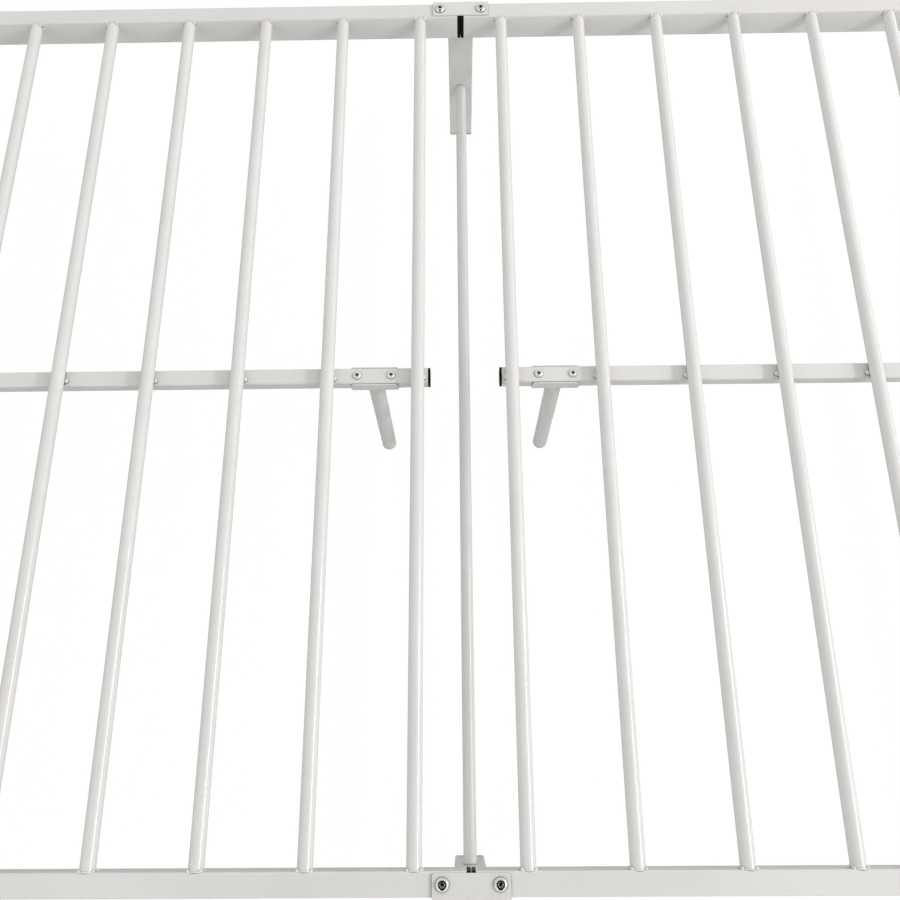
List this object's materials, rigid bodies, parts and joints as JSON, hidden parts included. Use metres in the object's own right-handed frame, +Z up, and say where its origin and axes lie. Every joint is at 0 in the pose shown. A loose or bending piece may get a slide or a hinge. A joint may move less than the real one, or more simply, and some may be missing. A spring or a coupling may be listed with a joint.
{
  "type": "slatted bed base",
  "caption": "White steel slatted bed base: two half decks of round slats on rectangular rails, bolted over a centre leg frame, with round mid legs and corner legs.",
  "frame": {"origin": "on the floor, under the middle of the deck", "axes": "+X along the bed, +Y across it to the back rail, +Z up"},
  "size_m": [2.07, 1.4346, 0.3273],
  "materials": {
    "white_powder_coat": "satin white powder coat with a fine orange-peel texture",
    "black_plastic": "matt moulded plastic",
    "pale_plastic": "matt moulded plastic, pale grey",
    "nickel_plate": "bright nickel plate"
  },
  "bodies": {
    "root": {"back_centre_foot": "black_plastic", "back_centre_leg": "white_powder_coat", "back_joint_plate": "white_powder_coat", "back_plate_bolt_left": "nickel_plate", "back_plate_bolt_right": "nickel_plate", "centre_stretcher": "white_powder_coat", "front_centre_foot": "black_plastic", "front_centre_leg": "white_powder_coat", "front_joint_plate": "white_powder_coat", "front_plate_bolt_left": "nickel_plate", "front_plate_bolt_right": "nickel_plate", "left_back_corner_foot": "black_plastic", "left_back_corner_leg": "white_powder_coat", "left_back_rail_cap": "black_plastic", "left_back_side_rail": "white_powder_coat", "left_end_rail": "white_powder_coat", "left_end_stretcher": "white_powder_coat", "left_front_corner_foot": "black_plastic", "left_front_corner_leg": "white_powder_coat", "left_front_rail_cap": "black_plastic", "left_front_side_rail": "white_powder_coat", "left_leg_saddle": "white_powder_coat", "left_mid_beam": "white_powder_coat", "left_mid_beam_cap": "black_plastic", "left_mid_foot": "pale_plastic", "left_mid_leg": "white_powder_coat", "left_saddle_screw_inner": "nickel_plate", "left_saddle_screw_outer": "nickel_plate", "left_slat_1": "white_powder_coat", "left_slat_2": "white_powder_coat", "left_slat_3": "white_powder_coat", "left_slat_4": "white_powder_coat", "left_slat_5": "white_powder_coat", "left_slat_6": "white_powder_coat", "left_slat_7": "white_powder_coat", "right_back_corner_foot": "black_plastic", "right_back_corner_leg": "white_powder_coat", "right_back_rail_cap": "black_plastic", "right_back_side_rail": "white_powder_coat", "right_end_rail": "white_powder_coat", "right_end_stretcher": "white_powder_coat", "right_front_corner_foot": "black_plastic", "right_front_corner_leg": "white_powder_coat", "right_front_rail_cap": "black_plastic", "right_front_side_rail": "white_powder_coat", "right_leg_saddle": "white_powder_coat", "right_mid_beam": "white_powder_coat", "right_mid_beam_cap": "black_plastic", "right_mid_foot": "pale_plastic", "right_mid_leg": "white_powder_coat", "right_saddle_screw_inner": "nickel_plate", "right_saddle_screw_outer": "nickel_plate", "right_slat_1": "white_powder_coat", "right_slat_2": "white_powder_coat", "right_slat_3": "white_powder_coat", "right_slat_4": "white_powder_coat", "right_slat_5": "white_powder_coat", "right_slat_6": "white_powder_coat", "right_slat_7": "white_powder_coat"}
  },
  "joints": []
}
